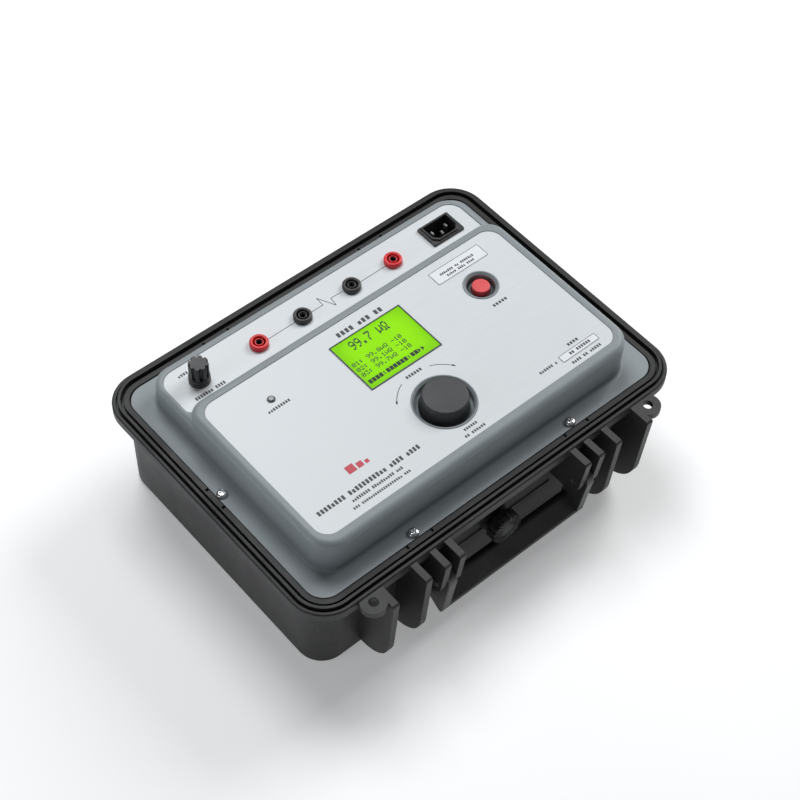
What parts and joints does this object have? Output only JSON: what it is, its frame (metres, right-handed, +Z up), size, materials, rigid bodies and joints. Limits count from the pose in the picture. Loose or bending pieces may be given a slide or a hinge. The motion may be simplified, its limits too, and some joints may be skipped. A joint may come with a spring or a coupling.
{
  "type": "low resistance ohmmeter",
  "caption": "Bench and field resistance tester in a moulded carry case: control panel with display, select knob, power button, test sockets, mains inlet, fuse and folding handle.",
  "frame": {"origin": "middle of the case rim in plan, on the surface the case stands on", "axes": "+X right, -Y front (handle side), +Z up"},
  "size_m": [0.357, 0.2879, 0.1374],
  "materials": {
    "case_plastic": "moulded with a fine even texture",
    "gasket_rubber": "closed-cell foam",
    "panel_plastic": "moulded, satin",
    "overlay_film": "printed film with a soft brushed sheen",
    "plate_film": "printed film, satin",
    "screw_steel": "bright plated",
    "insert_brass": "turned",
    "handle_plastic": "moulded with a fine even texture",
    "pin_steel": "ground",
    "purge_plastic": "moulded",
    "seal_rubber": "moulded",
    "nut_plastic": "moulded",
    "bezel_plastic": "moulded, satin",
    "display_lens": "clear window over a lit yellow-green display",
    "backlight_plastic": "diffusing",
    "circuit_board": "solder-masked laminate",
    "knob_plastic": "moulded, turned top",
    "button_plastic": "moulded, satin gloss",
    "spring_steel": "coiled wire",
    "lamp_lens": "diffused lens",
    "jack_red_plastic": "moulded",
    "jack_black_plastic": "moulded",
    "nut_steel": "plated",
    "inlet_plastic": "moulded",
    "contact_steel": "nickel plated",
    "fuse_plastic": "moulded, satin",
    "fuse_ceramic": "glazed tube",
    "chip_plastic": "moulded",
    "battery_wrap": "shrink sleeve",
    "sheet_steel": "plated sheet",
    "sheet_aluminium": "bare",
    "core_iron": "varnished laminations",
    "winding_copper": "enamelled wire under tape",
    "capacitor_can": "sleeved can",
    "relay_plastic": "moulded"
  },
  "bodies": {
    "case": {"case_base": "case_plastic", "panel_gasket": "gasket_rubber", "panel_frame": "panel_plastic", "main_label": "overlay_film", "strip_label": "overlay_film", "rating_plate": "plate_film", "serial_plate": "plate_film", "panel_screws": "screw_steel", "panel_inserts": "insert_brass", "handle_pins": "pin_steel", "purge_body": "purge_plastic", "purge_nut": "nut_plastic", "display_bezel": "bezel_plastic", "display_glass": "display_lens", "display_backlight": "backlight_plastic", "display_board": "circuit_board", "display_standoffs": "nut_plastic", "encoder_body": "nut_plastic", "encoder_nut": "insert_brass", "power_collar": "bezel_plastic", "power_switch_body": "nut_plastic", "power_spring": "spring_steel", "discharge_lamp": "lamp_lens", "lamp_holder": "bezel_plastic", "jack_red_left": "jack_red_plastic", "jack_black_left": "jack_black_plastic", "jack_black_right": "jack_black_plastic", "jack_red_right": "jack_red_plastic", "jack_contacts": "insert_brass", "jack_nuts": "nut_steel", "mains_inlet": "inlet_plastic", "inlet_pins": "contact_steel", "fuse_holder": "fuse_plastic", "fuse_nut": "nut_plastic", "main_board": "circuit_board", "board_standoffs": "nut_steel", "board_screws": "screw_steel", "board_chips": "chip_plastic", "battery_pack": "battery_wrap", "battery_tabs": "contact_steel", "battery_strap": "sheet_steel", "strap_screws": "screw_steel", "supply_tray": "sheet_aluminium", "supply_board": "circuit_board", "supply_spacers": "nut_plastic", "transformer_core": "core_iron", "transformer_winding": "winding_copper", "heat_sink": "sheet_aluminium", "discharge_capacitors": "capacitor_can", "discharge_relays": "relay_plastic"},
    "handle": {"carry_handle": "handle_plastic"},
    "select_plunger": {"encoder_plunger": "pin_steel"},
    "select_dial": {"select_knob": "knob_plastic", "encoder_shaft": "pin_steel"},
    "power_cap": {"power_button": "button_plastic"},
    "fuse_carriage": {"fuse_carrier": "fuse_plastic", "battery_fuse": "fuse_ceramic"},
    "fuse_top": {"fuse_cap": "fuse_plastic"},
    "purge_slide": {"purge_seal": "seal_rubber"},
    "purge_turner": {"purge_knob": "purge_plastic"}
  },
  "joints": [
    {"name": "handle_fold", "type": "hinge", "parent": "case", "child": "handle", "pos_m": [0, -0.138, 0.065], "axis": [-1, 0, 0], "range_deg": [0, 100]},
    {"name": "select_push", "type": "slide", "parent": "case", "child": "select_plunger", "axis": [0, 0, -1], "range_m": [0, 0.0008], "stiffness_N_per_m": 1000, "springref_m": -0.0015},
    {"name": "select_turn", "type": "hinge", "parent": "select_plunger", "child": "select_dial", "pos_m": [0, -0.0555, 0.114], "axis": [0, 0, 1], "continuous": true},
    {"name": "power_press", "type": "slide", "parent": "case", "child": "power_cap", "axis": [0, 0, -1], "range_m": [0, 0.0023], "stiffness_N_per_m": 400, "springref_m": -0.0015, "deforming": ["power_spring"]},
    {"name": "fuse_pull", "type": "slide", "parent": "case", "child": "fuse_carriage", "axis": [0, 0, 1], "range_m": [0, 0.045]},
    {"name": "fuse_twist", "type": "hinge", "parent": "fuse_carriage", "child": "fuse_top", "pos_m": [-0.1197, 0.0791, 0.13], "axis": [0, 0, 1], "range_deg": [0, 90]},
    {"name": "purge_out", "type": "slide", "parent": "case", "child": "purge_slide", "axis": [0, -1, 0], "range_m": [0, 0.0015]},
    {"name": "purge_turn", "type": "hinge", "parent": "purge_slide", "child": "purge_turner", "pos_m": [0, -0.125, 0.0506], "axis": [0, -1, 0], "range_deg": [0, 360]}
  ],
  "couplings": [
    {"joint": "purge_turn", "follows": "purge_out", "rad_per_m": 4188.8}
  ]
}
